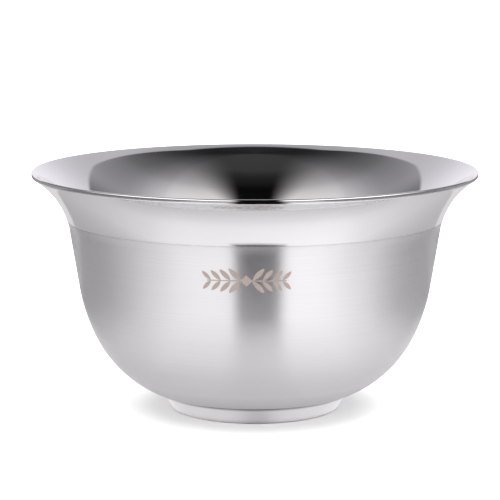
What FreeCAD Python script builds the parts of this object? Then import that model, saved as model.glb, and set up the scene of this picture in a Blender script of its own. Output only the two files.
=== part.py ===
"""Double-walled stainless steel shaving bowl, as a parametric FreeCAD document.

The frame is +Z up with its origin on the bowl's axis, in the plane that it stands on. Lengths are in
millimetres. Every piece is turned about the axis, so each one starts as a half section on the XZ plane.

    inner_bowl   the liner that holds the lather: floor, rounded side and flared lip, pressed from sheet
    outer_shell  the jacket round it: flat bottom, rounded side, straight wall and flare
    lip_weld     the ground weld that joins the two lips into one edge
    base_cap     the conical pan under the bottom, with the ring that the bowl stands on
    base_weld    the bead that joins the cap's edge to the outer shell

The two shells lie on each other at the lip only. Below it they part, and the closed space between them
keeps the heat in the lather and off the hand.
"""

import FreeCAD, Part
import math
import os

import Sketcher

START, END, CENTRE = 1, 2, 3

SIZES = {
    # both shells
    "sheet": 0.6,
    # outer shell, its outer surface from the bottom up
    "bottom_height": 5.0,
    "bottom_bend": 1.0,
    "side_curve": 30.5,
    "side_top_height": 19.4,
    "haunch_curve": 46.3,
    "wall_foot_height": 32.3,
    "wall_taper": 9.1,
    "throat_height": 46.9,
    "throat_radius": 47.9,
    "flare_curve": 20.5,
    "vent_bore": 2.5,
    "vent_offset": 12.0,
    # inner bowl, its under surface from the floor up
    "floor_height": 9.0,
    "floor_curve": 27.0,
    "liner_taper": 6.0,
    "liner_curve": 40.0,
    "lap_height": 59.0,
    # lip
    "rim_radius": 57.5,
    "trim_radius": 56.7,
    "press_height": 64.0,
    "lip_rounding": 0.35,
    # base cap, its under surface from the middle out
    "web_height": 1.6,
    "web_bend": 0.6,
    "step_taper": 30.0,
    "standing_radius": 19.6,
    "foot_bend": 0.8,
    "foot_taper": 31.0,
    "foot_top_radius": 24.75,
    "foot_weld": 0.5,
}


def make_dims(doc):
    """The spreadsheet with the driving dimensions, each one under its own alias."""
    dims = doc.addObject("Spreadsheet::Sheet", "dims")
    for row, (alias, value) in enumerate(SIZES.items(), start=1):
        dims.set(f"A{row}", alias)
        dims.set(f"B{row}", str(value))
        dims.setAlias(f"B{row}", alias)
    doc.recompute()
    return dims


def tan(degrees):
    return math.tan(math.radians(degrees))


def step(point, length, degrees):
    """The point that lies a length away from another one, in a direction given in degrees."""
    angle = math.radians(degrees)
    return (point[0] + length * math.cos(angle), point[1] + length * math.sin(angle))


class Section:
    """A half section on a body's XZ plane: x is the radius and y is the height.

    Its elements are drawn at their right places. The constraints then tie them to the spreadsheet.
    """

    def __init__(self, body, name):
        self.sketch = body.newObject("Sketcher::SketchObject", name)
        plane = next(item for item in body.Origin.OriginFeatures if item.Role == "XZ_Plane")
        self.sketch.AttachmentSupport = [(plane, "")]
        self.sketch.MapMode = "FlatFace"

    def line(self, start, end):
        segment = Part.LineSegment(FreeCAD.Vector(*start, 0), FreeCAD.Vector(*end, 0))
        return self.sketch.addGeometry(segment, False)

    def arc(self, centre, radius, first_deg, last_deg):
        """An arc that runs anticlockwise from the first direction to the last one."""
        circle = Part.Circle(FreeCAD.Vector(*centre, 0), FreeCAD.Vector(0, 0, 1), radius)
        piece = Part.ArcOfCircle(circle, math.radians(first_deg), math.radians(last_deg))
        return self.sketch.addGeometry(piece, False)

    def tie(self, kind, *where):
        return self.sketch.addConstraint(Sketcher.Constraint(kind, *where))

    def chain(self, *ends):
        """Join elements end to end. Each entry: element, its joined end, next element, its end, kind."""
        for element, end, other, other_end, kind in ends:
            self.tie(kind, element, end, other, other_end)

    def drive(self, kind, where, expression):
        """Hold a size at the value of a spreadsheet expression."""
        index = self.tie(kind, *where, self.drawn(kind, where))
        self.sketch.setExpression(f"Constraints[{index}]", expression)

    def drawn(self, kind, where):
        if kind == "Radius":
            return self.sketch.Geometry[where[0]].Radius
        if kind == "Angle":
            span = self.sketch.Geometry[where[0]]
            rise = span.EndPoint - span.StartPoint
            return math.atan2(rise.y, rise.x)
        point = self.sketch.getPoint(*where)
        return point.x if kind == "DistanceX" else point.y

    def close_on_axis(self, bottom, top, axis):
        """Close an outline with a level top line and the axis line."""
        self.tie("Coincident", top, END, axis, START)
        self.tie("Coincident", axis, END, bottom, START)
        self.tie("Horizontal", bottom)
        self.tie("Horizontal", top)
        self.tie("PointOnObject", axis, START, -2)
        self.tie("PointOnObject", axis, END, -2)


def add_body(doc, name):
    body = doc.addObject("PartDesign::Body", name)
    body.Label = name
    return body


def revolve(body, section, name):
    turned = body.newObject("PartDesign::Revolution", name)
    turned.Profile = section.sketch
    turned.ReferenceAxis = (section.sketch, ["V_Axis"])
    turned.Angle = 360
    body.Document.recompute()
    return turned


def hollow_out(body, solid, name):
    """Turn a pressed form, drawn by its outer surface, into sheet that is open at the top."""
    heights = [face.CenterOfMass.z for face in solid.Shape.Faces]
    lid = heights.index(max(heights)) + 1
    skin = body.newObject("PartDesign::Thickness", name)
    skin.Base = (solid, [f"Face{lid}"])
    skin.Reversed = True
    skin.setExpression("Value", "dims.sheet")
    body.Document.recompute()
    return skin


def trim_lip(body, name):
    """Turn off everything outside the trim radius, which leaves an upright edge for the weld."""
    low = SIZES["lap_height"] - 5
    high = SIZES["press_height"] + 5
    near = SIZES["trim_radius"]
    far = SIZES["rim_radius"] + 10
    section = Section(body, name + "Section")
    bottom = section.line((near, low), (far, low))
    outside = section.line((far, low), (far, high))
    top = section.line((far, high), (near, high))
    cut = section.line((near, high), (near, low))
    loop = (bottom, outside, top, cut)
    for element, following in zip(loop, loop[1:] + loop[:1]):
        section.tie("Coincident", element, END, following, START)
    for element in (bottom, top):
        section.tie("Horizontal", element)
    for element in (outside, cut):
        section.tie("Vertical", element)
    section.drive("DistanceX", (bottom, START), "dims.trim_radius")
    section.drive("DistanceY", (bottom, START), "dims.lap_height - 5")
    section.drive("DistanceX", (top, START), "dims.rim_radius + 10")
    section.drive("DistanceY", (top, START), "dims.press_height + 5")
    groove = body.newObject("PartDesign::Groove", name)
    groove.Profile = section.sketch
    groove.ReferenceAxis = (section.sketch, ["V_Axis"])
    groove.Angle = 360
    body.Document.recompute()


def flare_centre():
    """The centre of the outer shell's flare. Both lips curve about it."""
    throat = (SIZES["throat_radius"], SIZES["throat_height"])
    return step(throat, SIZES["flare_curve"], -SIZES["wall_taper"])


FLARE_CENTRE_RADIUS = "dims.throat_radius + dims.flare_curve * cos(dims.wall_taper * 1 deg)"
FLARE_CENTRE_HEIGHT = "dims.throat_height - dims.flare_curve * sin(dims.wall_taper * 1 deg)"


def flare_rise(radius, height):
    """How far round a flare curve a height lies, in degrees above the level of its centre."""
    return math.degrees(math.asin((height - flare_centre()[1]) / radius))


def make_outer_shell(doc):
    """The jacket. Its arcs are worked out from the throat down, each tangent to the one above."""
    taper = SIZES["wall_taper"]
    bend = SIZES["bottom_bend"]
    side_curve = SIZES["side_curve"]
    haunch_curve = SIZES["haunch_curve"]
    flare_curve = SIZES["flare_curve"]
    top_height = SIZES["press_height"]
    throat = (SIZES["throat_radius"], SIZES["throat_height"])
    fall = throat[1] - SIZES["wall_foot_height"]
    wall_foot = (throat[0] - fall * tan(taper), SIZES["wall_foot_height"])
    haunch = step(wall_foot, haunch_curve, 180 - taper)
    drop = math.degrees(math.asin((haunch[1] - SIZES["side_top_height"]) / haunch_curve))
    side = step(haunch, haunch_curve - side_curve, -drop)
    corner_height = SIZES["bottom_height"] + bend
    corner_drop = math.degrees(math.asin((side[1] - corner_height) / (side_curve - bend)))
    corner = step(side, side_curve - bend, -corner_drop)
    flare = flare_centre()
    top_rise = flare_rise(flare_curve, top_height)
    top_point = step(flare, flare_curve, 180 - top_rise)

    body = add_body(doc, "outer_shell")
    section = Section(body, "JacketSection")
    bottom = section.line((0, SIZES["bottom_height"]), (corner[0], SIZES["bottom_height"]))
    bottom_arc = section.arc(corner, bend, -90, -corner_drop)
    side_arc = section.arc(side, side_curve, -corner_drop, -drop)
    haunch_arc = section.arc(haunch, haunch_curve, -drop, -taper)
    wall = section.line(wall_foot, throat)
    flare_arc = section.arc(flare, flare_curve, 180 - top_rise, 180 - taper)
    top = section.line(top_point, (0, top_height))
    axis = section.line((0, top_height), (0, SIZES["bottom_height"]))
    section.chain(
        (bottom, END, bottom_arc, START, "Tangent"),
        (bottom_arc, END, side_arc, START, "Tangent"),
        (side_arc, END, haunch_arc, START, "Tangent"),
        (haunch_arc, END, wall, START, "Tangent"),
        (wall, END, flare_arc, END, "Tangent"),
        (flare_arc, START, top, START, "Coincident"),
    )
    section.close_on_axis(bottom, top, axis)
    section.drive("Radius", (bottom_arc,), "dims.bottom_bend")
    section.drive("Radius", (side_arc,), "dims.side_curve")
    section.drive("Radius", (haunch_arc,), "dims.haunch_curve")
    section.drive("Radius", (flare_arc,), "dims.flare_curve")
    section.drive("Angle", (wall,), "90 - dims.wall_taper")
    section.drive("DistanceX", (wall, END), "dims.throat_radius")
    section.drive("DistanceY", (wall, END), "dims.throat_height")
    section.drive("DistanceY", (wall, START), "dims.wall_foot_height")
    section.drive("DistanceY", (side_arc, END), "dims.side_top_height")
    section.drive("DistanceY", (bottom, START), "dims.bottom_height")
    section.drive("DistanceY", (top, END), "dims.press_height")
    hollow_out(body, revolve(body, section, "JacketForm"), "JacketSheet")
    trim_lip(body, "JacketTrim")
    bore_vent(body)
    return body


def bore_vent(body):
    """The hole that lets hot air out while the lip is welded. The base cap closes it afterwards."""
    sketch = body.newObject("Sketcher::SketchObject", "VentSection")
    plane = next(item for item in body.Origin.OriginFeatures if item.Role == "XY_Plane")
    sketch.AttachmentSupport = [(plane, "")]
    sketch.MapMode = "FlatFace"
    centre = FreeCAD.Vector(SIZES["vent_offset"], 0, 0)
    circle = sketch.addGeometry(
        Part.Circle(centre, FreeCAD.Vector(0, 0, 1), SIZES["vent_bore"] / 2), False)
    sketch.addConstraint(Sketcher.Constraint("PointOnObject", circle, CENTRE, -1))
    offset = sketch.addConstraint(
        Sketcher.Constraint("DistanceX", circle, CENTRE, SIZES["vent_offset"]))
    bore = sketch.addConstraint(Sketcher.Constraint("Diameter", circle, SIZES["vent_bore"]))
    sketch.setExpression(f"Constraints[{offset}]", "dims.vent_offset")
    sketch.setExpression(f"Constraints[{bore}]", "dims.vent_bore")
    body.Document.recompute()
    vent = body.newObject("PartDesign::Pocket", "Vent")
    vent.Profile = sketch
    vent.Reversed = True
    vent.Type = "Length"
    vent.setExpression("Length", "dims.bottom_height + dims.sheet + 1")
    body.Document.recompute()


def make_inner_bowl(doc):
    """The liner. It leaves the outer shell's flare on a slacker curve and ends in a flat floor."""
    taper = SIZES["liner_taper"]
    floor_curve = SIZES["floor_curve"]
    liner_curve = SIZES["liner_curve"]
    floor_height = SIZES["floor_height"]
    lap_curve = SIZES["flare_curve"] + SIZES["sheet"]
    top_height = SIZES["press_height"]
    flare = flare_centre()
    top_rise = flare_rise(lap_curve, top_height)
    lap_rise = flare_rise(lap_curve, SIZES["lap_height"])
    top_point = step(flare, lap_curve, 180 - top_rise)
    lap_point = step(flare, lap_curve, 180 - lap_rise)
    throat_centre = step(lap_point, liner_curve, -lap_rise)
    wall_top = step(throat_centre, liner_curve, 180 - taper)
    wall_foot_height = step((0, floor_height + floor_curve), floor_curve, -taper)[1]
    wall_foot = (wall_top[0] - (wall_top[1] - wall_foot_height) * tan(taper), wall_foot_height)
    corner = step(wall_foot, floor_curve, 180 - taper)

    body = add_body(doc, "inner_bowl")
    section = Section(body, "LinerSection")
    floor = section.line((0, floor_height), (corner[0], floor_height))
    floor_arc = section.arc(corner, floor_curve, -90, -taper)
    wall = section.line(wall_foot, wall_top)
    throat_arc = section.arc(throat_centre, liner_curve, 180 - lap_rise, 180 - taper)
    lap_arc = section.arc(flare, lap_curve, 180 - top_rise, 180 - lap_rise)
    top = section.line(top_point, (0, top_height))
    axis = section.line((0, top_height), (0, floor_height))
    section.chain(
        (floor, END, floor_arc, START, "Tangent"),
        (floor_arc, END, wall, START, "Tangent"),
        (wall, END, throat_arc, END, "Tangent"),
        (throat_arc, START, lap_arc, END, "Tangent"),
        (lap_arc, START, top, START, "Coincident"),
    )
    section.close_on_axis(floor, top, axis)
    section.drive("Radius", (floor_arc,), "dims.floor_curve")
    section.drive("Radius", (throat_arc,), "dims.liner_curve")
    section.drive("Radius", (lap_arc,), "dims.flare_curve + dims.sheet")
    section.drive("DistanceX", (lap_arc, CENTRE), FLARE_CENTRE_RADIUS)
    section.drive("DistanceY", (lap_arc, CENTRE), FLARE_CENTRE_HEIGHT)
    section.drive("DistanceY", (lap_arc, END), "dims.lap_height")
    section.drive("Angle", (wall,), "90 - dims.liner_taper")
    section.drive("DistanceY", (floor, START), "dims.floor_height")
    section.drive("DistanceY", (top, END), "dims.press_height")
    hollow_out(body, revolve(body, section, "LinerForm"), "LinerSheet")
    trim_lip(body, "LinerTrim")
    return body


def make_lip_weld(doc):
    """The fused edge: it carries both shells' surfaces on from the trim radius out to the rim."""
    near = SIZES["trim_radius"]
    far = SIZES["rim_radius"]
    flare = flare_centre()
    low_curve = SIZES["flare_curve"]
    high_curve = low_curve + 2 * SIZES["sheet"]

    def rise(curve, radius):
        return math.degrees(math.acos((flare[0] - radius) / curve))

    low_near, low_far = rise(low_curve, near), rise(low_curve, far)
    high_near, high_far = rise(high_curve, near), rise(high_curve, far)

    body = add_body(doc, "lip_weld")
    section = Section(body, "RimSection")
    under = section.arc(flare, low_curve, 180 - low_far, 180 - low_near)
    over = section.arc(flare, high_curve, 180 - high_far, 180 - high_near)
    outside = section.line(
        step(flare, low_curve, 180 - low_far), step(flare, high_curve, 180 - high_far))
    inside = section.line(
        step(flare, high_curve, 180 - high_near), step(flare, low_curve, 180 - low_near))
    section.chain(
        (under, START, outside, START, "Coincident"),
        (outside, END, over, START, "Coincident"),
        (over, END, inside, START, "Coincident"),
        (inside, END, under, END, "Coincident"),
        (under, CENTRE, over, CENTRE, "Coincident"),
    )
    section.tie("Vertical", outside)
    section.tie("Vertical", inside)
    section.drive("Radius", (under,), "dims.flare_curve")
    section.drive("Radius", (over,), "dims.flare_curve + 2 * dims.sheet")
    section.drive("DistanceX", (under, CENTRE), FLARE_CENTRE_RADIUS)
    section.drive("DistanceY", (under, CENTRE), FLARE_CENTRE_HEIGHT)
    section.drive("DistanceX", (outside, START), "dims.rim_radius")
    section.drive("DistanceX", (inside, START), "dims.trim_radius")
    ring = revolve(body, section, "RimForm")

    edges = enumerate(ring.Shape.Edges, start=1)
    rims = [f"Edge{number}" for number, edge in edges
            if isinstance(edge.Curve, Part.Circle) and abs(edge.Curve.Radius - far) < 0.001]
    rounding = body.newObject("PartDesign::Fillet", "RimRounding")
    rounding.Base = (ring, rims)
    rounding.setExpression("Radius", "dims.lip_rounding")
    doc.recompute()
    return body


def make_base_cap(doc):
    """The foot: a shallow pan whose raised middle leaves a narrow flat ring to stand on."""
    web = SIZES["web_height"]
    web_bend = SIZES["web_bend"]
    slope = SIZES["step_taper"]
    bend = SIZES["foot_bend"]
    taper = SIZES["foot_taper"]
    top_height = SIZES["bottom_height"]
    standing = (SIZES["standing_radius"], bend)
    step_foot = step(standing, bend, 180 + slope)
    step_top_height = step((0, web - web_bend), web_bend, slope)[1]
    step_top = (step_foot[0] - (step_top_height - step_foot[1]) * tan(slope), step_top_height)
    web_centre = step(step_top, web_bend, 180 + slope)
    top_point = (SIZES["foot_top_radius"], top_height)
    cone_foot_height = step((0, bend), bend, -taper)[1]
    cone_foot = (top_point[0] - (top_height - cone_foot_height) * tan(taper), cone_foot_height)
    outer_bend = step(cone_foot, bend, 180 - taper)

    body = add_body(doc, "base_cap")
    section = Section(body, "CapSection")
    middle = section.line((0, web), (web_centre[0], web))
    web_arc = section.arc(web_centre, web_bend, slope, 90)
    riser = section.line(step_top, step_foot)
    inner_arc = section.arc(standing, bend, 180 + slope, 270)
    flat = section.line((standing[0], 0), (outer_bend[0], 0))
    outer_arc = section.arc(outer_bend, bend, 270, 360 - taper)
    cone = section.line(cone_foot, top_point)
    top = section.line(top_point, (0, top_height))
    axis = section.line((0, top_height), (0, web))
    section.chain(
        (middle, END, web_arc, END, "Tangent"),
        (web_arc, START, riser, START, "Tangent"),
        (riser, END, inner_arc, START, "Tangent"),
        (inner_arc, END, flat, START, "Tangent"),
        (flat, END, outer_arc, START, "Tangent"),
        (outer_arc, END, cone, START, "Tangent"),
        (cone, END, top, START, "Coincident"),
    )
    section.close_on_axis(middle, top, axis)
    section.tie("PointOnObject", flat, START, -1)
    section.tie("PointOnObject", flat, END, -1)
    section.drive("Radius", (web_arc,), "dims.web_bend")
    section.drive("Radius", (inner_arc,), "dims.foot_bend")
    section.drive("Radius", (outer_arc,), "dims.foot_bend")
    section.drive("Angle", (riser,), "dims.step_taper - 90")
    section.drive("Angle", (cone,), "90 - dims.foot_taper")
    section.drive("DistanceX", (flat, START), "dims.standing_radius")
    section.drive("DistanceX", (cone, END), "dims.foot_top_radius")
    section.drive("DistanceY", (cone, END), "dims.bottom_height")
    section.drive("DistanceY", (middle, START), "dims.web_height")
    hollow_out(body, revolve(body, section, "CapForm"), "CapSheet")
    return body


def make_base_weld(doc):
    """The bead in the corner between the cap's cone and the outer shell's flat bottom."""
    corner = (SIZES["foot_top_radius"], SIZES["bottom_height"])
    size = SIZES["foot_weld"]
    lean = 270 - SIZES["foot_taper"]

    body = add_body(doc, "base_weld")
    section = Section(body, "BeadSection")
    level = section.line(corner, step(corner, size, 0))
    face = section.arc(corner, size, lean, 360)
    leg = section.line(step(corner, size, lean), corner)
    section.chain(
        (level, END, face, END, "Coincident"),
        (face, START, leg, START, "Coincident"),
        (leg, END, level, START, "Coincident"),
        (face, CENTRE, level, START, "Coincident"),
    )
    section.tie("Horizontal", level)
    section.drive("Radius", (face,), "dims.foot_weld")
    section.drive("Angle", (leg,), "90 - dims.foot_taper")
    section.drive("DistanceX", (level, START), "dims.foot_top_radius")
    section.drive("DistanceY", (level, START), "dims.bottom_height")
    revolve(body, section, "BeadForm")
    return body


def check(doc, bodies):
    """Stop at a sketch that isn't held, at a feature in error and at a body that isn't one solid."""
    for item in doc.Objects:
        if "Invalid" in item.State or "Error" in item.State:
            raise RuntimeError(f"{item.Name} is in state {item.State}")
        if item.TypeId == "Sketcher::SketchObject" and item.solve() != 0:
            raise RuntimeError(f"{item.Name} doesn't solve")
    for body in bodies:
        shape = body.Shape
        if shape.isNull() or not shape.isValid() or len(shape.Solids) != 1:
            raise RuntimeError(f"{body.Label} isn't one valid solid")
        box = shape.optimalBoundingBox()
        print(f"{body.Label}: radius {box.XMax:.2f}, z {box.ZMin:.2f} to {box.ZMax:.2f}, "
              f"volume {shape.Volume:.0f} mm3")


os.makedirs("parts", exist_ok=True)
document = FreeCAD.newDocument("shaving_bowl")
make_dims(document)
pieces = [
    make_outer_shell(document),
    make_inner_bowl(document),
    make_lip_weld(document),
    make_base_cap(document),
    make_base_weld(document),
]
document.recompute()
check(document, pieces)
for piece in pieces:
    piece.Shape.exportStep(f"parts/{piece.Label}.step")
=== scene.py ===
# %% [markdown]
# # A double-walled steel shaving bowl
#
# The bowl is two pressed shells of stainless steel, one inside the other, welded at the lip, on a low
# conical foot. Nearly all of it was turned or pressed round one axis, so nearly all of it can be made
# the way the maker makes it: draw half a section, then turn it. What remains is the metal itself, which
# takes its whole look from what it reflects.

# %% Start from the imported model
import math

import bmesh
import bpy
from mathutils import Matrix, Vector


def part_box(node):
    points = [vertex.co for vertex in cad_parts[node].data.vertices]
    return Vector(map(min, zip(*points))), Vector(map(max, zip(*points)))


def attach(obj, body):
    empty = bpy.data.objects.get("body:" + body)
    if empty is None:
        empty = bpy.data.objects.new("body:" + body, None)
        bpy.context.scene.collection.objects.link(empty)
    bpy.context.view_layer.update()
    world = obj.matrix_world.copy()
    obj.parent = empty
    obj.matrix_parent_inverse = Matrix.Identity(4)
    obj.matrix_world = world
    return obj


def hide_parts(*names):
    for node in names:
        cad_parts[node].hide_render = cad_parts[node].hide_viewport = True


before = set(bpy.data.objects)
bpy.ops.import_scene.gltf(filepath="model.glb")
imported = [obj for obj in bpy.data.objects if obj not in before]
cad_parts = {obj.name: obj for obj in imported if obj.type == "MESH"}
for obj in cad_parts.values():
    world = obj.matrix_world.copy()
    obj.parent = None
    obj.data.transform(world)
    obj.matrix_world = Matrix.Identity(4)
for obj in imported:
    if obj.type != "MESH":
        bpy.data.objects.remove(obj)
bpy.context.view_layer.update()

# %% [markdown]
# ## Sizes
#
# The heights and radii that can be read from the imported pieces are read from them. The curves between
# cannot be read from a box, so they are written down: they are the tool radii that the shells are
# pressed over. Everything is in metres.

# %% Sizes of the shells
MM = 0.001

RIM_RADIUS = (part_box("lip_weld")[1].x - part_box("lip_weld")[0].x) / 2
BOTTOM_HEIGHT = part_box("outer_shell")[0].z
FLOOR_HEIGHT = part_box("inner_bowl")[0].z
print("rim radius:", round(RIM_RADIUS / MM, 2), "mm")
print("jacket's bottom:", round(BOTTOM_HEIGHT / MM, 2), "mm")
print("liner's floor:", round(FLOOR_HEIGHT / MM, 2), "mm")

SHEET = 0.6 * MM
TRIM_RADIUS = RIM_RADIUS - 0.8 * MM
THROAT = (47.9 * MM, 46.9 * MM)
WALL_TAPER = 9.1
FLARE_CURVE = 20.5 * MM
POLISH_HEIGHT = 49.9 * MM

# %% [markdown]
# A half section is a chain of arcs that run into each other without a corner. `towards` finds the next
# centre in the chain, and `swing` lays points along an arc. Points closer together than the eye can
# resolve in a reflection are wasted, and points further apart show as flats, so one pitch serves all.

# %% Arcs of a half section
PITCH = 0.55 * MM


def towards(point, length, degrees):
    """The point a length away in a direction, both in the plane of the half section."""
    angle = math.radians(degrees)
    return (point[0] + length * math.cos(angle), point[1] + length * math.sin(angle))


def swing(centre, radius, first, last, pitch=PITCH):
    """Points along an arc, from the first direction to the last one, in degrees."""
    steps = max(3, math.ceil(abs(math.radians(last - first)) * radius / pitch))
    return [towards(centre, radius, first + (last - first) * i / steps) for i in range(steps + 1)]


def run(start, end, pitch=4 * PITCH):
    """Points along a straight stretch."""
    steps = max(1, math.ceil(math.dist(start, end) / pitch))
    return [(start[0] + (end[0] - start[0]) * i / steps, start[1] + (end[1] - start[1]) * i / steps)
            for i in range(steps + 1)]


def joined(*stretches):
    """One outline from several stretches, without the points that two of them share."""
    outline = []
    for stretch in stretches:
        for point in stretch:
            if not outline or math.dist(point, outline[-1]) > 0.002 * MM:
                outline.append(point)
    return outline


flare_centre = towards(THROAT, FLARE_CURVE, -WALL_TAPER)


def flare_angle(curve, radius=None, height=None):
    """The direction, seen from the flare's centre, in which a curve passes a radius or a height."""
    if height is not None:
        return 180 - math.degrees(math.asin((height - flare_centre[1]) / curve))
    return 180 - math.degrees(math.acos((flare_centre[0] - radius) / curve))


# %% [markdown]
# ## The lathe
#
# A lathe turns a flat outline into a body. `Screw` or `Spin` could do it, but a small node tree does
# the same and can hand over two things that they cannot: a UV map that unrolls the surface, and an
# attribute that says where on the turned surface each point lies. The polishing belt and the brush both
# ran round the axis, so the finish needs exactly that: a direction that goes round, and a distance along
# the section.

# %% The lathe as a node tree
def socket_id(tree, name):
    """The identifier of a tree's input, which is what a modifier goes by."""
    return next(item.identifier for item in tree.interface.items_tree if item.name == name)


def build_lathe():
    tree = bpy.data.node_groups.new("lathe", "GeometryNodeTree")
    inputs = [("Outline", "NodeSocketGeometry"), ("Steps round", "NodeSocketInt"),
              ("Finish line", "NodeSocketFloat"), ("Finish below", "NodeSocketMaterial"),
              ("Finish above", "NodeSocketMaterial")]
    for name, kind in inputs:
        tree.interface.new_socket(name, in_out="INPUT", socket_type=kind)
    tree.interface.new_socket("Body", in_out="OUTPUT", socket_type="NodeSocketGeometry")
    make, link = tree.nodes.new, tree.links.new
    given = make("NodeGroupInput")
    result = make("NodeGroupOutput")

    def maths(operation, first, second, integer=False):
        node = make("FunctionNodeIntegerMath" if integer else "ShaderNodeMath")
        node.operation = operation
        for socket, value in zip(node.inputs, (first, second)):
            if isinstance(value, (int, float)):
                socket.default_value = value
            else:
                link(value, socket)
        return node.outputs[0]

    count = make("GeometryNodeAttributeDomainSize")
    count.component = "CURVE"
    link(given.outputs["Outline"], count.inputs["Geometry"])
    rows = count.outputs["Point Count"]
    columns = maths("ADD", given.outputs["Steps round"], 1, integer=True)
    sheet = make("GeometryNodeMeshGrid")
    link(columns, sheet.inputs["Vertices X"])
    link(rows, sheet.inputs["Vertices Y"])

    index = make("GeometryNodeInputIndex").outputs[0]
    row = maths("MODULO", index, rows, integer=True)
    column = maths("DIVIDE_FLOOR", index, rows, integer=True)
    turn = maths("DIVIDE", column, given.outputs["Steps round"])
    angle = maths("MULTIPLY", turn, 2 * math.pi)

    def sampled(kind, value):
        node = make("GeometryNodeSampleIndex")
        node.data_type = kind
        link(given.outputs["Outline"], node.inputs["Geometry"])
        link(value, node.inputs["Value"])
        link(row, node.inputs["Index"])
        return node.outputs[0]

    outline_point = sampled("FLOAT_VECTOR", make("GeometryNodeInputPosition").outputs[0])
    travel = sampled("FLOAT", make("GeometryNodeSplineParameter").outputs["Length"])
    rotate = make("ShaderNodeVectorRotate")
    rotate.rotation_type = "Z_AXIS"
    link(outline_point, rotate.inputs["Vector"])
    link(angle, rotate.inputs["Angle"])
    place = make("GeometryNodeSetPosition")
    link(sheet.outputs["Mesh"], place.inputs["Geometry"])
    link(rotate.outputs[0], place.inputs["Position"])

    def stored(geometry, name, kind, domain, value):
        node = make("GeometryNodeStoreNamedAttribute")
        node.data_type = kind
        node.domain = domain
        node.inputs["Name"].default_value = name
        link(geometry, node.inputs["Geometry"])
        link(value, node.inputs["Value"])
        return node.outputs[0]

    travel_mm = maths("MULTIPLY", travel, 1 / MM)
    unrolled = make("ShaderNodeCombineXYZ")
    link(turn, unrolled.inputs[0])
    link(maths("MULTIPLY", travel_mm, 0.005), unrolled.inputs[1])
    around = make("ShaderNodeCombineXYZ")
    link(maths("COSINE", angle, 0), around.inputs[0])
    link(maths("SINE", angle, 0), around.inputs[1])
    link(travel_mm, around.inputs[2])
    body = stored(place.outputs[0], "UVMap", "FLOAT2", "CORNER", unrolled.outputs[0])
    body = stored(body, "turning", "FLOAT_VECTOR", "POINT", around.outputs[0])

    merge = make("GeometryNodeMergeByDistance")
    merge.inputs["Distance"].default_value = 0.001 * MM
    link(body, merge.inputs["Geometry"])
    realize = make("GeometryNodeRealizeInstances")
    link(merge.outputs[0], realize.inputs[0])
    below = make("GeometryNodeSetMaterial")
    link(realize.outputs[0], below.inputs["Geometry"])
    link(given.outputs["Finish below"], below.inputs["Material"])
    height = make("ShaderNodeSeparateXYZ")
    link(make("GeometryNodeInputPosition").outputs[0], height.inputs[0])
    above = make("GeometryNodeSetMaterial")
    link(below.outputs[0], above.inputs["Geometry"])
    link(maths("GREATER_THAN", height.outputs["Z"], given.outputs["Finish line"]), above.inputs["Selection"])
    link(given.outputs["Finish above"], above.inputs["Material"])
    link(above.outputs[0], result.inputs["Body"])
    return tree


lathe = build_lathe()
print("lathe tree:", len(lathe.nodes), "nodes")

# %% [markdown]
# `turn` lays an outline down as a curve, runs the tree on it, and keeps only the mesh that comes out.
# The normals are recalculated once the seam and the poles are closed, so that they all face out of
# the metal, and edges sharper than 30 degrees stay crisp.

# %% Turn an outline into a piece
STEPS_ROUND = 288


def turn(name, outline, finish, finish_above=None, finish_line=1.0):
    curve = bpy.data.curves.new(name + "_outline", "CURVE")
    curve.dimensions = "3D"
    spline = curve.splines.new("POLY")
    spline.points.add(len(outline) - 1)
    for point, (radius, height) in zip(spline.points, outline):
        point.co = (radius, 0, height, 1)
    blank = bpy.data.objects.new(name + "_outline", curve)
    bpy.context.scene.collection.objects.link(blank)
    turned = blank.modifiers.new("lathe", "NODES")
    turned.node_group = lathe
    turned[socket_id(lathe, "Steps round")] = STEPS_ROUND
    turned[socket_id(lathe, "Finish line")] = finish_line
    turned[socket_id(lathe, "Finish below")] = finish
    turned[socket_id(lathe, "Finish above")] = finish_above or finish
    shape = bpy.data.meshes.new_from_object(blank.evaluated_get(bpy.context.evaluated_depsgraph_get()))
    bpy.data.objects.remove(blank)
    bpy.data.curves.remove(curve)

    mesh = bmesh.new()
    mesh.from_mesh(shape)
    bmesh.ops.remove_doubles(mesh, verts=mesh.verts, dist=0.001 * MM)
    bmesh.ops.recalc_face_normals(mesh, faces=mesh.faces)
    for face in mesh.faces:
        face.smooth = True
    for edge in mesh.edges:
        edge.smooth = edge.is_manifold and edge.calc_face_angle() < math.radians(30)
    open_edges = sum(not edge.is_manifold for edge in mesh.edges)
    volume = mesh.calc_volume(signed=True)
    mesh.to_mesh(shape)
    mesh.free()
    shape.name = name
    piece = bpy.data.objects.new(name, shape)
    bpy.context.scene.collection.objects.link(piece)
    print(f"{name}: {len(shape.polygons)} faces, {open_edges} open edges, {volume * 1e9:.0f} mm3")
    return piece


def belongs(piece, node):
    """Tie a finished piece to the model: it rides on the one body and stands for a CAD node."""
    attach(piece, "root")
    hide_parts(node)


# %% [markdown]
# ## Finishes
#
# Steel has no colour to speak of: what tells one finish from another is how far it spreads a reflection,
# and which way. A polished face keeps it together. Brushing cuts thousands of fine grooves round the
# axis, which spread a reflection across the grooves, up and down the wall, and hardly at all along them.
# That is anisotropy, and it is why a brushed bowl shows soft upright bands.

# %% Helpers for materials
def new_finish(name):
    finish = bpy.data.materials.new(name)
    finish.use_nodes = True
    nodes = finish.node_tree.nodes
    shader = nodes["Principled BSDF"]
    shader.inputs["Metallic"].default_value = 1.0
    return finish, nodes, finish.node_tree.links, shader


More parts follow.
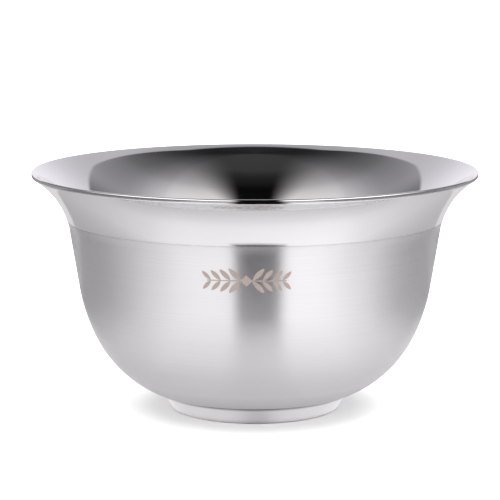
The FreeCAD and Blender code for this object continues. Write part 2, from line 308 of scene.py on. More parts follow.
def turning_noise(nodes, links, across, along, detail=4.0, roughness=0.6):
    """Noise on the turned surface: `along` cells round the axis for each radian, `across` for each mm."""
    place = nodes.new("ShaderNodeAttribute")
    place.attribute_name = "turning"
    scale = nodes.new("ShaderNodeMapping")
    scale.inputs["Scale"].default_value = (along, along, across)
    links.new(place.outputs["Vector"], scale.inputs["Vector"])
    noise = nodes.new("ShaderNodeTexNoise")
    noise.inputs["Scale"].default_value = 1.0
    noise.inputs["Detail"].default_value = detail
    noise.inputs["Roughness"].default_value = roughness
    links.new(scale.outputs[0], noise.inputs["Vector"])
    return noise.outputs["Fac"]


def ranged(nodes, links, value, low, high, start=0.3, stop=0.7):
    """Map a value from one range to another. The range it comes from is the middle of a noise, by default."""
    node = nodes.new("ShaderNodeMapRange")
    node.inputs["From Min"].default_value = start
    node.inputs["From Max"].default_value = stop
    node.inputs["To Min"].default_value = low
    node.inputs["To Max"].default_value = high
    links.new(value, node.inputs["Value"])
    return node.outputs["Result"]


# %% [markdown]
# ### Polish
#
# The liner, the lip and the flare are polished to a mirror. A flat low roughness would look like chrome
# from a computer, so it varies a little along the mop's path. A very shallow swell bends the reflections,
# because thin pressed sheet is never quite true.

# %% Polished steel
def polished_steel():
    """Mirror polish: a trace of the polishing mop's path is left, and a little haze."""
    finish, nodes, links, shader = new_finish("polished_steel")
    shader.inputs["Base Color"].default_value = (0.80, 0.80, 0.80, 1)
    mop = turning_noise(nodes, links, across=2.0, along=3.0)
    links.new(ranged(nodes, links, mop, 0.03, 0.07), shader.inputs["Roughness"])
    swell = turning_noise(nodes, links, across=0.12, along=2.5, detail=1.0)
    bump = nodes.new("ShaderNodeBump")
    bump.inputs["Strength"].default_value = 0.12
    bump.inputs["Distance"].default_value = 0.02 * MM
    links.new(swell, bump.inputs["Height"])
    links.new(bump.outputs[0], shader.inputs["Normal"])
    return finish


# %% [markdown]
# ### Brushing
#
# The wall and the foot are brushed round the axis. Modelling the grooves would take millions of faces,
# and a bump as fine as that is lost between samples. So the anisotropy does the spreading, along a
# tangent taken from the unrolled UV map. Fine stretched noise then varies the tone and the roughness by
# a few parts in a hundred and adds a trace of bump, which the eye reads as lines. Three places are
# darkened by their height: the jacket's lowest part, as painted shade, the edge of the polish, and the
# corner above the foot, as a painted shadow of the gap under the jacket. The even light of this studio
# gives too little shade there.

# %% Brushed steel
def brushed_steel(name, level, spread, lines, cut, shades):
    """Satin finish, cut round the axis.

    level is its brightness, lines is how many grooves there are to the mm, and cut is how deep they
    are. Each of the shades is a place where it darkens: from one height to another, in mm, between two
    levels.
    """
    finish, nodes, links, shader = new_finish(name)
    shader.inputs["Anisotropic"].default_value = 1.0
    shader.inputs["Anisotropic Rotation"].default_value = 0.25
    tangent = nodes.new("ShaderNodeTangent")
    tangent.direction_type = "UV_MAP"
    tangent.uv_map = "UVMap"
    links.new(tangent.outputs[0], shader.inputs["Tangent"])

    grooves = turning_noise(nodes, links, across=lines, along=0.8, detail=2.0, roughness=0.5)
    tone = nodes.new("ShaderNodeMix")
    tone.data_type = "RGBA"
    tone.inputs["A"].default_value = (0.955 * level, 0.955 * level, 0.955 * level, 1)
    tone.inputs["B"].default_value = (level, level, level, 1)
    links.new(ranged(nodes, links, grooves, 0, 1), tone.inputs["Factor"])
    height = nodes.new("ShaderNodeSeparateXYZ")
    links.new(nodes.new("ShaderNodeTexCoord").outputs["Object"], height.inputs[0])
    metal = tone.outputs["Result"]
    for start, stop, low, high in shades:
        shade = nodes.new("ShaderNodeVectorMath")
        shade.operation = "SCALE"
        links.new(metal, shade.inputs[0])
        fade = ranged(nodes, links, height.outputs["Z"], low, high, start * MM, stop * MM)
        links.new(fade, shade.inputs["Scale"])
        metal = shade.outputs[0]
    links.new(metal, shader.inputs["Base Color"])
    links.new(ranged(nodes, links, grooves, spread * 0.98, spread * 1.02), shader.inputs["Roughness"])
    bump = nodes.new("ShaderNodeBump")
    bump.inputs["Strength"].default_value = cut
    bump.inputs["Distance"].default_value = 0.004 * MM
    links.new(grooves, bump.inputs["Height"])
    links.new(bump.outputs[0], shader.inputs["Normal"])
    return finish


# %% [markdown]
# ### Weld and etching
#
# A weld bead is rippled and tinted by its heat, and its near-black tone is also painted shade of the gap
# under the jacket. Etching eats the shine off the metal and leaves it matt. Both are the same steel, so
# both stay fully metallic, and only the tone, the roughness and the bump tell them apart from the polish.

# %% Weld bead and etching
def weld_steel_with_painted_shade():
    """A weld bead: torch ripples, a little heat tint, and a dark tone that paints the shade under the jacket.
    """
    finish, nodes, links, shader = new_finish("weld_bead")
    ripple = turning_noise(nodes, links, across=0.8, along=70.0, detail=2.0)
    tone = nodes.new("ShaderNodeMix")
    tone.data_type = "RGBA"
    # these dark tones are painted shade of the gap under the jacket, on top of a little heat tint
    tone.inputs["A"].default_value = (0.05, 0.045, 0.045, 1)
    tone.inputs["B"].default_value = (0.16, 0.15, 0.145, 1)
    links.new(ranged(nodes, links, ripple, 0, 1), tone.inputs["Factor"])
    links.new(tone.outputs["Result"], shader.inputs["Base Color"])
    links.new(ranged(nodes, links, ripple, 0.35, 0.5), shader.inputs["Roughness"])
    bump = nodes.new("ShaderNodeBump")
    bump.inputs["Strength"].default_value = 0.6
    bump.inputs["Distance"].default_value = 0.05 * MM
    links.new(ripple, bump.inputs["Height"])
    links.new(bump.outputs[0], shader.inputs["Normal"])
    return finish


def etched_steel():
    """Etching leaves the metal matt and faintly brown, whatever it reflects."""
    finish, nodes, links, shader = new_finish("etched_steel")
    noise = nodes.new("ShaderNodeTexNoise")
    noise.inputs["Scale"].default_value = 4 / MM
    noise.inputs["Detail"].default_value = 3.0
    links.new(nodes.new("ShaderNodeTexCoord").outputs["Object"], noise.inputs["Vector"])
    tone = nodes.new("ShaderNodeMix")
    tone.data_type = "RGBA"
    tone.inputs["A"].default_value = (0.56, 0.49, 0.45, 1)
    tone.inputs["B"].default_value = (0.70, 0.63, 0.59, 1)
    links.new(ranged(nodes, links, noise.outputs["Fac"], 0, 1), tone.inputs["Factor"])
    links.new(tone.outputs["Result"], shader.inputs["Base Color"])
    links.new(ranged(nodes, links, noise.outputs["Fac"], 0.75, 0.9), shader.inputs["Roughness"])
    return finish


# %% [markdown]
# The brushed finish is used twice. The jacket has finer and shallower grooves than the foot, as if the
# foot had been brushed on its own before it was welded on.

# %% The five finishes
polished = polished_steel()
# The jacket darkens in its lowest band as painted shade and along the edge of the polish; the foot's top edge
# is a painted shadow of the gap under the jacket.
satin = brushed_steel("brushed_jacket", 0.80, 0.28, lines=9.0, cut=0.05,
                      shades=[(5.0, 9.5, 0.74, 1.0), (49.3, 49.8, 1.0, 0.84)])
satin_foot = brushed_steel("brushed_foot", 0.87, 0.42, lines=5.0, cut=0.3, shades=[(3.7, 4.5, 1.0, 0.16)])
weld_with_painted_shade = weld_steel_with_painted_shade()
etched = etched_steel()
print("finishes:", ", ".join(finish.name for finish in (polished, satin, satin_foot, weld_with_painted_shade, etched)))

# %% [markdown]
# ## The jacket
#
# The outer shell is one pressing: a flat bottom, a rounded side, a nearly straight wall and a flare.
# Every arc runs into the next without a corner, so the centres follow from each other, from the throat
# down. The same section is drawn twice, once on the outer face and once a sheet's thickness inside it.

# %% Jacket
def jacket_section():
    wall_foot_height = 32.3 * MM
    haunch_curve = 46.3 * MM
    side_top_height = 19.4 * MM
    side_curve = 30.5 * MM
    bend = 1.0 * MM
    fall = THROAT[1] - wall_foot_height
    wall_foot = (THROAT[0] - fall * math.tan(math.radians(WALL_TAPER)), wall_foot_height)
    haunch = towards(wall_foot, haunch_curve, 180 - WALL_TAPER)
    drop = math.degrees(math.asin((haunch[1] - side_top_height) / haunch_curve))
    side = towards(haunch, haunch_curve - side_curve, -drop)
    low_drop = math.degrees(math.asin((side[1] - BOTTOM_HEIGHT - bend) / (side_curve - bend)))
    corner = towards(side, side_curve - bend, -low_drop)

    def face(depth):
        curve = FLARE_CURVE + depth
        polish_angle = flare_angle(curve, height=POLISH_HEIGHT)
        trim_angle = flare_angle(curve, radius=TRIM_RADIUS)
        bottom = [(0, BOTTOM_HEIGHT + depth), (corner[0] * 0.5, BOTTOM_HEIGHT + depth)]
        return joined(
            bottom,
            swing(corner, bend - depth, -90, -low_drop, PITCH / 5),
            swing(side, side_curve - depth, -low_drop, -drop),
            swing(haunch, haunch_curve - depth, -drop, -WALL_TAPER),
            swing(flare_centre, curve, 180 - WALL_TAPER, polish_angle),
            swing(flare_centre, curve, polish_angle, trim_angle, PITCH / 1.5),
        )

    return joined(face(0), reversed(face(SHEET)))


jacket = turn("outer_shell_jacket", jacket_section(), satin, polished, POLISH_HEIGHT)
belongs(jacket, "outer_shell")

# %% [markdown]
# ## The liner
#
# The inner shell lies on the jacket's flare at the lip, then leaves it on a slacker curve, so that air
# is left between the two. It ends in a flat floor with a large radius all round, which a brush can
# sweep clean. It is polished all over.

# %% Liner
def liner_section():
    lap_height = 59.0 * MM
    liner_curve = 40.0 * MM
    liner_taper = 6.0
    floor_curve = 27.0 * MM
    lap_curve = FLARE_CURVE + SHEET
    lap_angle = flare_angle(lap_curve, height=lap_height)
    lap_point = towards(flare_centre, lap_curve, lap_angle)
    throat = towards(lap_point, liner_curve, lap_angle - 180)
    wall_top = towards(throat, liner_curve, 180 - liner_taper)
    wall_foot_height = towards((0, FLOOR_HEIGHT + floor_curve), floor_curve, -liner_taper)[1]
    lean = math.tan(math.radians(liner_taper))
    wall_foot = (wall_top[0] - (wall_top[1] - wall_foot_height) * lean, wall_foot_height)
    corner = towards(wall_foot, floor_curve, 180 - liner_taper)

    def face(depth):
        curve = lap_curve + depth
        trim_angle = flare_angle(curve, radius=TRIM_RADIUS)
        return joined(
            run((0, FLOOR_HEIGHT + depth), (corner[0], FLOOR_HEIGHT + depth)),
            swing(corner, floor_curve - depth, -90, -liner_taper, 1.5 * PITCH),
            swing(throat, liner_curve + depth, 180 - liner_taper, lap_angle),
            swing(flare_centre, curve, lap_angle, trim_angle, PITCH / 1.5),
        )

    return joined(face(0), reversed(face(SHEET)))


liner = turn("inner_bowl_liner", liner_section(), polished)
belongs(liner, "inner_bowl")

# %% [markdown]
# ## The lip
#
# The two lips are welded together and the weld is ground round. What is left is a ring that carries
# both surfaces on to an upright edge, with its two corners eased, so that it shows two thin bright lines
# with a darker band between them.

# %% Lip weld
def lip_section():
    eased = 0.35 * MM
    under_curve = FLARE_CURVE
    over_curve = FLARE_CURVE + 2 * SHEET
    rim = RIM_RADIUS
    # each corner's easing is a small circle that touches the upright edge and one of the two curves
    low_centre_angle = flare_angle(under_curve + eased, radius=rim - eased)
    high_centre_angle = flare_angle(over_curve - eased, radius=rim - eased)
    low_centre = towards(flare_centre, under_curve + eased, low_centre_angle)
    high_centre = towards(flare_centre, over_curve - eased, high_centre_angle)
    under_trim = flare_angle(under_curve, radius=TRIM_RADIUS)
    over_trim = flare_angle(over_curve, radius=TRIM_RADIUS)
    fine = PITCH / 6
    return joined(
        swing(flare_centre, under_curve, under_trim, low_centre_angle, fine),
        swing(low_centre, eased, low_centre_angle - 180, 0, fine),
        swing(high_centre, eased, 0, high_centre_angle, fine),
        swing(flare_centre, over_curve, high_centre_angle, over_trim, fine),
        [towards(flare_centre, under_curve, under_trim)],
    )


lip = turn("lip_weld_ring", lip_section(), polished)
belongs(lip, "lip_weld")

# %% [markdown]
# ## The foot
#
# The foot is a shallow pan, welded under the jacket. Its wall leans inwards on the way down, and its
# middle is pressed up, so that the bowl stands on a narrow flat ring and does not rock.

# %% Base cap
FOOT_TOP_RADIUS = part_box("base_cap")[1].x
FOOT_TAPER = 31.0


def cap_section():
    web = 1.6 * MM
    web_bend = 0.6 * MM
    slope = 30.0
    bend = 0.8 * MM
    standing = (19.6 * MM, bend)
    step_foot = towards(standing, bend, 180 + slope)
    step_top_height = towards((0, web - web_bend), web_bend, slope)[1]
    reach = (step_top_height - step_foot[1]) * math.tan(math.radians(slope))
    web_centre = towards((step_foot[0] - reach, step_top_height), web_bend, 180 + slope)
    cone_foot_height = towards((0, bend), bend, -FOOT_TAPER)[1]
    lean = math.tan(math.radians(FOOT_TAPER))
    cone_foot = (FOOT_TOP_RADIUS - (BOTTOM_HEIGHT - cone_foot_height) * lean, cone_foot_height)
    outer_bend = towards(cone_foot, bend, 180 - FOOT_TAPER)
    fine = PITCH / 5

    def face(depth):
        cone_top = (FOOT_TOP_RADIUS - depth / math.cos(math.radians(FOOT_TAPER)), BOTTOM_HEIGHT)
        return joined(
            run((0, web + depth), (web_centre[0], web + depth)),
            swing(web_centre, web_bend + depth, 90, slope, fine),
            swing(standing, bend - depth, 180 + slope, 270, fine),
            swing(outer_bend, bend - depth, 270, 360 - FOOT_TAPER, fine),
            run(towards(outer_bend, bend - depth, -FOOT_TAPER), cone_top, PITCH),
        )

    return joined(face(0), reversed(face(SHEET)))


cap = turn("base_cap_pan", cap_section(), satin_foot)
belongs(cap, "base_cap")

# %% [markdown]
# ## The weld under the jacket
#
# One small bead fills the corner between the foot's edge and the jacket's bottom. Its section is a
# sector of a circle, which the lathe turns like everything else.

# %% Weld under the jacket
def bead_section():
    corner = (FOOT_TOP_RADIUS, BOTTOM_HEIGHT)
    size = 0.5 * MM
    return joined([corner], swing(corner, size, 0, -90 - FOOT_TAPER, PITCH / 6), [corner])


bead = turn("base_weld_bead", bead_section(), weld_with_painted_shade)
belongs(bead, "base_weld")

# %% [markdown]
# ## The etched sprig
#
# A small mark is etched into the middle of the wall. Here it is a sprig of leaves, which is only an
# ornament: a lozenge in the middle, and pairs of leaves that get smaller to both sides of it. Every leaf
# is the same little pointed plate, so the node tree instances one plate along a stem, drawn flat, and
# then lays the flat drawing on the cone of the wall. The plates lie half in the wall and stand only
# three hundredths of a millimetre proud, which is enough to hold an edge.

# %% The sprig as a node tree
def build_sprig():
    tree = bpy.data.node_groups.new("sprig", "GeometryNodeTree")
    sizes = ("Spacing", "Leaf length", "Leaf width", "Thickness", "Spread", "Wall radius", "Wall height",
             "Wall taper", "Shift")
    kinds = {"Pairs": "NodeSocketInt", **dict.fromkeys(sizes, "NodeSocketFloat"),
             "Finish": "NodeSocketMaterial"}
    for name, kind in kinds.items():
        tree.interface.new_socket(name, in_out="INPUT", socket_type=kind)
    tree.interface.new_socket("Sprig", in_out="OUTPUT", socket_type="NodeSocketGeometry")
    make, link = tree.nodes.new, tree.links.new
    given = make("NodeGroupInput").outputs
    result = make("NodeGroupOutput")

    def put(value, socket):
        if isinstance(value, (int, float)):
            socket.default_value = value
        else:
            link(value, socket)

    def maths(operation, first, second=0.0):
        node = make("ShaderNodeMath")
        node.operation = operation
        put(first, node.inputs[0])
        put(second, node.inputs[1])
        return node.outputs[0]

    def vector(x, y, z):
        node = make("ShaderNodeCombineXYZ")
        for value, socket in zip((x, y, z), node.inputs):
            put(value, socket)
        return node.outputs[0]

    def place():
        node = make("ShaderNodeSeparateXYZ")
        link(make("GeometryNodeInputPosition").outputs[0], node.inputs[0])
        return node.outputs

    def moved(geometry, position):
        node = make("GeometryNodeSetPosition")
        link(geometry, node.inputs["Geometry"])
        link(position, node.inputs["Position"])
        return node.outputs[0]

    def plate(corners, length, width, power):
        """A flat closed plate: a disc, drawn out to points by a power of its half width."""
        disc = make("GeometryNodeMeshCylinder")
        disc.inputs["Vertices"].default_value = corners
        disc.inputs["Radius"].default_value = 1.0
        disc.inputs["Depth"].default_value = 1.0
        x, y, z = place()
        half = maths("MULTIPLY", maths("SIGN", y), maths("POWER", maths("ABSOLUTE", y), power))
        return moved(disc.outputs["Mesh"], vector(maths("MULTIPLY", x, maths("MULTIPLY", length, 0.5)),
                                                  maths("MULTIPLY", half, maths("MULTIPLY", width, 0.5)),
                                                  maths("MULTIPLY", z, given["Thickness"])))

    def joined_geometry(*parts):
        node = make("GeometryNodeJoinGeometry")
        for part in parts:
            link(part, node.inputs[0])
        return node.outputs[0]

    def transformed(geometry, shift=None, angle=0.0):
        node = make("GeometryNodeTransform")
        link(geometry, node.inputs["Geometry"])
        if shift:
            link(shift, node.inputs["Translation"])
        link(vector(0.0, 0.0, angle), node.inputs["Rotation"])
        return node.outputs[0]

    leaf = plate(28, given["Leaf length"], given["Leaf width"], 1.6)
    lean = maths("RADIANS", given["Spread"])
    reach = maths("MULTIPLY", given["Leaf length"], 0.56)
    along = maths("MULTIPLY", reach, maths("COSINE", lean))
    aside = maths("MULTIPLY", reach, maths("SINE", lean))
    upper = transformed(leaf, vector(along, aside, 0.0), lean)
    below = vector(along, maths("MULTIPLY", aside, -1.0), 0.0)
    lower = transformed(leaf, below, maths("MULTIPLY", lean, -1.0))
    pair = joined_geometry(upper, lower)

    line = make("GeometryNodeMeshLine")
    link(given["Pairs"], line.inputs["Count"])
    link(vector(maths("MULTIPLY", given["Spacing"], 0.55), 0.0, 0.0), line.inputs["Start Location"])
    link(vector(given["Spacing"], 0.0, 0.0), line.inputs["Offset"])
    pairs = make("GeometryNodeInstanceOnPoints")
    link(line.outputs[0], pairs.inputs["Points"])
    link(pair, pairs.inputs["Instance"])
    smaller = make("ShaderNodeMapRange")
    put(make("GeometryNodeInputIndex").outputs[0], smaller.inputs["Value"])
    put(given["Pairs"], smaller.inputs["From Max"])
    smaller.inputs["To Min"].default_value = 1.0
    smaller.inputs["To Max"].default_value = 0.66
    size = smaller.outputs["Result"]
    link(vector(size, size, 1.0), pairs.inputs["Scale"])
    arm = make("GeometryNodeRealizeInstances")
    link(pairs.outputs[0], arm.inputs[0])

    stem = make("GeometryNodeMeshCube")
    stem.inputs["Vertices X"].default_value = 41
    link(vector(maths("MULTIPLY", given["Spacing"], maths("MULTIPLY", given["Pairs"], 2.0)),
                maths("MULTIPLY", given["Leaf width"], 0.2), given["Thickness"]), stem.inputs["Size"])
    lozenge_size = maths("MULTIPLY", given["Leaf width"], 2.2)
    lozenge = plate(4, lozenge_size, lozenge_size, 1.0)
    flat_drawing = joined_geometry(arm.outputs[0], transformed(arm.outputs[0], angle=math.pi),
                                   stem.outputs["Mesh"], lozenge)

    x, y, z = place()
    taper = maths("RADIANS", given["Wall taper"])
    sine, cosine = maths("SINE", taper), maths("COSINE", taper)
    outwards = maths("ADD", maths("MULTIPLY", y, sine), maths("MULTIPLY", z, cosine))
    radius = maths("ADD", given["Wall radius"], outwards)
    height = maths("ADD", given["Wall height"], maths("SUBTRACT", maths("MULTIPLY", y, cosine),
                                                      maths("MULTIPLY", z, sine)))
    angle = maths("DIVIDE", maths("ADD", x, given["Shift"]), given["Wall radius"])
    rightwards = maths("MULTIPLY", radius, maths("SINE", angle))
    forwards = maths("MULTIPLY", radius, maths("COSINE", angle))
    wrapped = moved(flat_drawing, vector(rightwards, maths("MULTIPLY", forwards, -1.0), height))
    realize = make("GeometryNodeRealizeInstances")
    link(wrapped, realize.inputs[0])
    finish = make("GeometryNodeSetMaterial")
    link(realize.outputs[0], finish.inputs["Geometry"])
    link(given["Finish"], finish.inputs["Material"])
    link(finish.outputs[0], result.inputs[0])
    return tree


# %% Lay the sprig on the wall
MARK_HEIGHT = 41.3 * MM
MARK_RADIUS = THROAT[0] - (THROAT[1] - MARK_HEIGHT) * math.tan(math.radians(WALL_TAPER))
sprig_tree = build_sprig()
blank = bpy.data.meshes.new("blank")
sprig = bpy.data.objects.new("etched_sprig", blank)
bpy.context.scene.collection.objects.link(sprig)
grow = sprig.modifiers.new("sprig", "NODES")
grow.node_group = sprig_tree
for name, value in {"Pairs": 4, "Spacing": 2.4 * MM, "Leaf length": 4.0 * MM, "Leaf width": 1.3 * MM,
                    "Thickness": 0.06 * MM, "Spread": 46.0, "Wall radius": MARK_RADIUS,
                    "Wall height": MARK_HEIGHT, "Wall taper": WALL_TAPER, "Shift": -2.0 * MM,
                    "Finish": etched}.items():
    grow[socket_id(sprig_tree, name)] = value
shape = bpy.data.meshes.new_from_object(sprig.evaluated_get(bpy.context.evaluated_depsgraph_get()))
sprig.modifiers.clear()
mesh = bmesh.new()
mesh.from_mesh(shape)
bmesh.ops.recalc_face_normals(mesh, faces=mesh.faces)
open_edges = sum(not edge.is_manifold for edge in mesh.edges)
mesh.to_mesh(shape)
mesh.free()
shape.name = "etched_sprig"
sprig.data = shape
bpy.data.meshes.remove(blank)
belongs(sprig, "outer_shell")
xs = [vertex.co.x / MM for vertex in shape.vertices]
zs = [vertex.co.z / MM for vertex in shape.vertices]
print(f"sprig: {len(shape.polygons)} faces, {open_edges} open edges,",
      f"x {min(xs):.1f} to {max(xs):.1f}, z {min(zs):.1f} to {max(zs):.1f} mm")

# %% [markdown]
# ## The camera
#
# A long lens a little above the rim: far enough back that the bowl keeps its proportions, and high
# enough to see into it.

# %% Camera
FOCAL = 155.4
CAMERA_PLACE = (0, -0.55358, 0.13179)
CAMERA_DIP = 0.1624
SIDE_SHIFT = -0.0099
camera_data = bpy.data.cameras.new("camera")
camera_data.sensor_width = 36
camera_data.lens = FOCAL
camera_data.shift_x = SIDE_SHIFT
camera = bpy.data.objects.new("camera", camera_data)
camera.location = CAMERA_PLACE
camera.rotation_euler = (math.radians(90) - CAMERA_DIP, 0, 0)
bpy.context.scene.collection.objects.link(camera)
bpy.context.scene.camera = camera
print(f"camera: {FOCAL} mm lens, looking down by {math.degrees(CAMERA_DIP):.1f} degrees")

# %% [markdown]
# ## The floor
#
# The floor is one large matt square. It catches the soft shadow of the foot and nothing else: steel that
# mirrors a white floor goes flat and pale, so this one is hidden from reflections, and the steel is given
# a table of its own in the next step.

# %% Floor
def matt(name, grey):
    finish = bpy.data.materials.new(name)
    finish.use_nodes = True
    shader = finish.node_tree.nodes["Principled BSDF"]
    shader.inputs["Base Color"].default_value = (grey, grey, grey, 1)
    shader.inputs["Roughness"].default_value = 1.0
    shader.inputs["Specular IOR Level"].default_value = 0.0
    return finish


def flat(name, corners, finish):
    shape = bpy.data.meshes.new(name)
    shape.from_pydata(corners, [], [tuple(range(len(corners)))])
    shape.materials.append(finish)
    piece = bpy.data.objects.new(name, shape)
    bpy.context.scene.collection.objects.link(piece)
    return piece


FLOOR_REACH = 6.0
SQUARE = [(-FLOOR_REACH, -FLOOR_REACH, 0), (FLOOR_REACH, -FLOOR_REACH, 0), (FLOOR_REACH, FLOOR_REACH, 0),
          (-FLOOR_REACH, FLOOR_REACH, 0)]
floor = flat("studio_floor", SQUARE, matt("studio_floor", 0.95))
floor.visible_glossy = False
print(f"floor: {2 * FLOOR_REACH:.0f} m square, not seen by reflections")

# %% [markdown]
# ## What the steel sees of the table
#
# A mirror shows the table as well as the lamps. Its tones are painted light and shade: it is bright in
# front, where the lamps stand, darker to the sides and behind, dark under the bowl as painted shadow, and
# it fades out far away. The gap between the two lamps leaves a painted dark strip on it, which runs towards
# the viewer. One graded floor could do both jobs, but then the eye would see the strip too. So a second
# sheet, which only reflections can see, carries these tones. Their levels were set by trial, for this camera:
# from elsewhere they are only plausible.

# %% Helpers for graded light
def graph(nodes, links):
    """Helpers for a node graph: sums on numbers, soft steps, and curves through given points."""

    def put(value, socket):
        if isinstance(value, float):
            socket.default_value = value
        else:
            links.new(value, socket)

    def maths(operation, first, second=0.0):
        node = nodes.new("ShaderNodeMath")
        node.operation = operation
        put(first, node.inputs[0])
        put(second, node.inputs[1])
        return node.outputs[0]

    def soft_step(value, start, stop, low=0.0, high=1.0):
        node = nodes.new("ShaderNodeMapRange")
        node.interpolation_type = "SMOOTHSTEP"
        for name, number in zip(("Value", "From Min", "From Max", "To Min", "To Max"),
                                (value, start, stop, low, high)):
            put(number, node.inputs[name])
        return node.outputs["Result"]

    def drawn(value, points):
        """A curve through given points, whose places run from 0 to 1."""
        node = nodes.new("ShaderNodeFloatCurve")
        curve = node.mapping.curves[0]
        curve.points[0].location = points[0]
        curve.points[1].location = points[-1]
        for place in points[1:-1]:
            curve.points.new(*place)
        node.mapping.update()
        put(maths("MINIMUM", maths("MAXIMUM", value, 0.0), 1.0), node.inputs["Value"])
        return node.outputs["Value"]

    return maths, soft_step, drawn


# %% Table card
TABLE_TINT = (0.99, 0.969, 1.0)
# painted light by depth, and painted shade by radius: a shadow under the bowl and a fade far away
TABLE_LIGHT_BY_DEPTH = [(-100, 0.98), (-55, 0.95), (-5, 0.78), (80, 0.57), (200, 0.45)]
TABLE_SHADE_BY_RADIUS = [(0, 0.05), (19, 0.05), (22.5, 0.5), (24.5, 0.9), (30, 0.74), (55, 0.85), (75, 1.0), (220, 1.0),
               (450, 0.45), (500, 0.45)]
DEPTH_START, DEPTH_SPAN = -0.1, 0.3
REACH_SPAN = 0.5
TABLE_LEVEL = 0.926
SIDES_FROM, FAR_SIDES_FROM = 0.04, 0.085
STRIP_NEAR, STRIP_FAR = -0.0895, -0.100
STRIP_EDGE = (0.15, 0.29)
# the even light on matt things, and the light that the table's tones are meant for
AMBIENT = 2.2
EVEN_LIGHT = 1.2


def table_painted_light_and_shade():
    finish = matt("table_top_painted_light", 0.9)
    nodes, links = finish.node_tree.nodes, finish.node_tree.links
    maths, soft_step, drawn = graph(nodes, links)
    split = nodes.new("ShaderNodeSeparateXYZ")
    links.new(nodes.new("ShaderNodeTexCoord").outputs["Object"], split.inputs[0])
    x, y = split.outputs["X"], split.outputs["Y"]
    radius = maths("SQRT", maths("ADD", maths("MULTIPLY", x, x), maths("MULTIPLY", y, y)))
    aside = maths("ABSOLUTE", x)
    outer = maths("MULTIPLY", maths("MAXIMUM", maths("SUBTRACT", aside, FAR_SIDES_FROM), 0.0), 1.2)
    outwards = maths("ADD", maths("MAXIMUM", maths("SUBTRACT", aside, SIDES_FROM), 0.0), outer)
    depth = maths("MULTIPLY", maths("SUBTRACT", maths("ADD", y, outwards), DEPTH_START), 1 / DEPTH_SPAN)
    # painted light: bright in front, darker behind, a little brighter to the right and towards the white
    # sheet behind
    lit = drawn(depth, [((place * MM - DEPTH_START) / DEPTH_SPAN, TABLE_LEVEL * tone)
                        for place, tone in TABLE_LIGHT_BY_DEPTH])
    lit = maths("MULTIPLY", lit, soft_step(x, -0.03, 0.07, 1.0, 1.12))
    lit = maths("MAXIMUM", lit, soft_step(y, 0.08, 0.14, 0.0, 0.66))
    # painted shadow under the bowl and foot, full light further out, fading far away
    reach = drawn(maths("MULTIPLY", radius, 1 / REACH_SPAN),
                  [(place * MM / REACH_SPAN, tone) for place, tone in TABLE_SHADE_BY_RADIUS])
    # painted shade of the gap between the lamps: a dark strip that runs towards the viewer
    centred = maths("ABSOLUTE", maths("ADD", x, maths("MULTIPLY", y, 0.035)))
    sideways = maths("DIVIDE", centred, maths("MAXIMUM", maths("MULTIPLY", y, -1.0), 0.001))
    strip = maths("MAXIMUM", soft_step(sideways, *STRIP_EDGE), soft_step(y, STRIP_FAR, STRIP_NEAR))
    strip = maths("MAXIMUM", strip, 0.01)
    grey = maths("MULTIPLY", maths("MULTIPLY", lit, reach), strip)
    tint = nodes.new("ShaderNodeVectorMath")
    tint.operation = "SCALE"
    tint.inputs[0].default_value = [EVEN_LIGHT / AMBIENT * part for part in TABLE_TINT]
    links.new(grey, tint.inputs["Scale"])
    links.new(tint.outputs[0], nodes["Principled BSDF"].inputs["Base Color"])
    return finish


table = flat("table_card", SQUARE, table_painted_light_and_shade())
table.visible_camera = False
table.visible_diffuse = False
table.visible_shadow = False
print("table card: seen by reflections only")

# %% [markdown]
# ## The room
#
# Two broad lamps stand in front, left and right, with a dark gap between them; their light thins out
# overhead. A white sheet hangs behind. Area lamps would do, but a few curves, painted by direction, are
# easier to shape: how far round, and how far up. Reflections and the camera see this painting. Matt
# things get a plain even light instead, so that the floor stays white. Each curve lists an angle in
# degrees and a brightness, and all of them were set by trial.

# %% Brightness round and up
def degrees(points, whole):
    return [(angle / whole, value) for angle, value in points]


def signed_degrees(points):
    return [((angle + 180) / 360, value) for angle, value in points]


BOXES_STRENGTH = 1.3
LOW_STRENGTH = 1.6
BOXES_ROUND = signed_degrees([
    (-180, 0.5), (-140, 0.38), (-126, 0.34), (-114, 0.35), (-102, 0.42), (-90, 0.56), (-78, 0.74),
    (-60, 0.98), (0, 1), (60, 1), (78, 0.76), (90, 0.58), (102, 0.42), (114, 0.35), (126, 0.34),
    (140, 0.38), (180, 0.5)])
BOXES_UP = degrees([(0, 0.9), (30, 0.84), (41, 0.69), (49, 0.54), (56, 0.34), (64, 0.215), (71, 0.16),
                    (79, 0.125), (90, 0.065)], 90)
LOW_ROUND = signed_degrees([
    (-180, 0), (-105, 0), (-90, 0.1), (-75, 0.4), (-60, 0.7), (-45, 0.8), (0, 0.85), (25, 0.92), (60, 0.95),
    (78, 0.5), (90, 0.15), (105, 0), (180, 0)])
GAP_UP = degrees([(0, 0.006), (49, 0.006), (55, 0.01), (59, 0.033), (63, 0.06), (67, 0.12), (72, 0.24),
                  (79, 0.32), (90, 0.6)], 90)
SHEET_UP = degrees([(0, 1), (11, 0.97), (19, 0.88), (26, 0.76), (34, 0.65), (41, 0.6), (49, 0.6), (56, 0.55),
                    (64, 0.47), (73, 0.44), (90, 0.3)], 90)
GAP_HALF_WIDTH = 0.14
WARM, LAVENDER = (1.0, 0.968, 0.962, 1), (0.96, 0.94, 1.0, 1)


# %% Room
def background(nodes, strength):
    node = nodes.new("ShaderNodeBackground")
    node.inputs["Color"].default_value = (1, 1, 1, 1)
    node.inputs["Strength"].default_value = strength
    return node


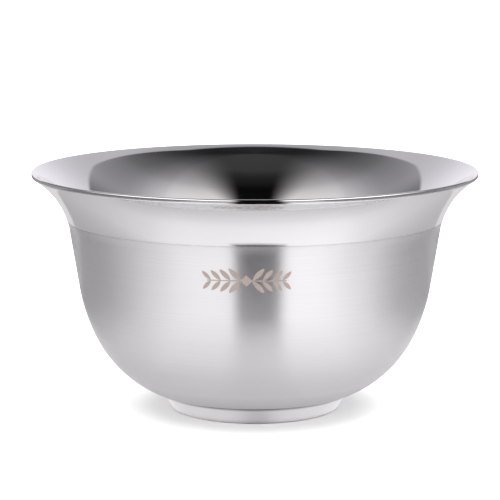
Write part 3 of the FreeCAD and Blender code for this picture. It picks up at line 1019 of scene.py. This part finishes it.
def build_room():
    room = bpy.data.worlds.new("studio_room")
    room.use_nodes = True
    nodes, links = room.node_tree.nodes, room.node_tree.links
    maths, soft_step, drawn = graph(nodes, links)
    split = nodes.new("ShaderNodeSeparateXYZ")
    links.new(nodes.new("ShaderNodeTexCoord").outputs["Generated"], split.inputs[0])
    across, back, up = split.outputs
    forward = maths("MULTIPLY", back, -1.0)
    azimuth = maths("ADD", maths("DIVIDE", maths("ARCTAN2", across, forward), 2 * math.pi), 0.5)
    elevation = maths("DIVIDE", maths("ARCSINE", up), math.pi / 2)

    boxes = maths("MULTIPLY", drawn(azimuth, BOXES_ROUND), drawn(elevation, BOXES_UP))
    low = maths("MULTIPLY", drawn(azimuth, LOW_ROUND), soft_step(elevation, 0.15, 0.38, 1.0, 0.0))
    lamps = maths("ADD", maths("MULTIPLY", boxes, BOXES_STRENGTH), maths("MULTIPLY", low, LOW_STRENGTH))
    gap_width = soft_step(elevation, 0.35, 0.6, 0.25, 0.46)
    gap_centre = soft_step(elevation, 0.35, 0.5, 0.03, 0.0)
    from_gap = maths("ABSOLUTE", maths("SUBTRACT", across, gap_centre))
    gap = soft_step(from_gap, GAP_HALF_WIDTH, gap_width, drawn(elevation, GAP_UP), 1.0)
    turned = maths("ABSOLUTE", maths("SUBTRACT", azimuth, 0.5))
    low_side = maths("MULTIPLY", soft_step(turned, 0.22, 0.30), soft_step(elevation, 0.45, 0.2))
    front = maths("MULTIPLY", maths("MULTIPLY", lamps, gap), soft_step(low_side, 0.0, 1.0, 1.0, 0.45))
    behind = soft_step(turned, 0.382, 0.390)
    sheet_area = maths("MULTIPLY", behind, soft_step(back, 0.24, 0.30))
    brightness = nodes.new("ShaderNodeMix")
    links.new(sheet_area, brightness.inputs["Factor"])
    links.new(front, brightness.inputs[2])
    links.new(drawn(elevation, SHEET_UP), brightness.inputs[3])
    tint = nodes.new("ShaderNodeMix")
    tint.data_type = "RGBA"
    tint.inputs["A"].default_value = WARM
    tint.inputs["B"].default_value = LAVENDER
    links.new(soft_step(forward, 0.5, -0.2), tint.inputs["Factor"])

    painted = background(nodes, 1.0)
    links.new(tint.outputs["Result"], painted.inputs["Color"])
    links.new(brightness.outputs[0], painted.inputs["Strength"])
    even = background(nodes, AMBIENT)
    ray = nodes.new("ShaderNodeLightPath")
    choice = nodes.new("ShaderNodeMixShader")
    links.new(ray.outputs["Is Diffuse Ray"], choice.inputs["Fac"])
    links.new(painted.outputs[0], choice.inputs[1])
    links.new(even.outputs[0], choice.inputs[2])
    links.new(choice.outputs[0], nodes["World Output"].inputs["Surface"])
    room.cycles.sampling_method = "NONE"
    return room


bpy.context.scene.world = build_room()
bpy.context.scene.view_settings.view_transform = "Standard"
print("room:", len(bpy.context.scene.world.node_tree.nodes), "nodes")
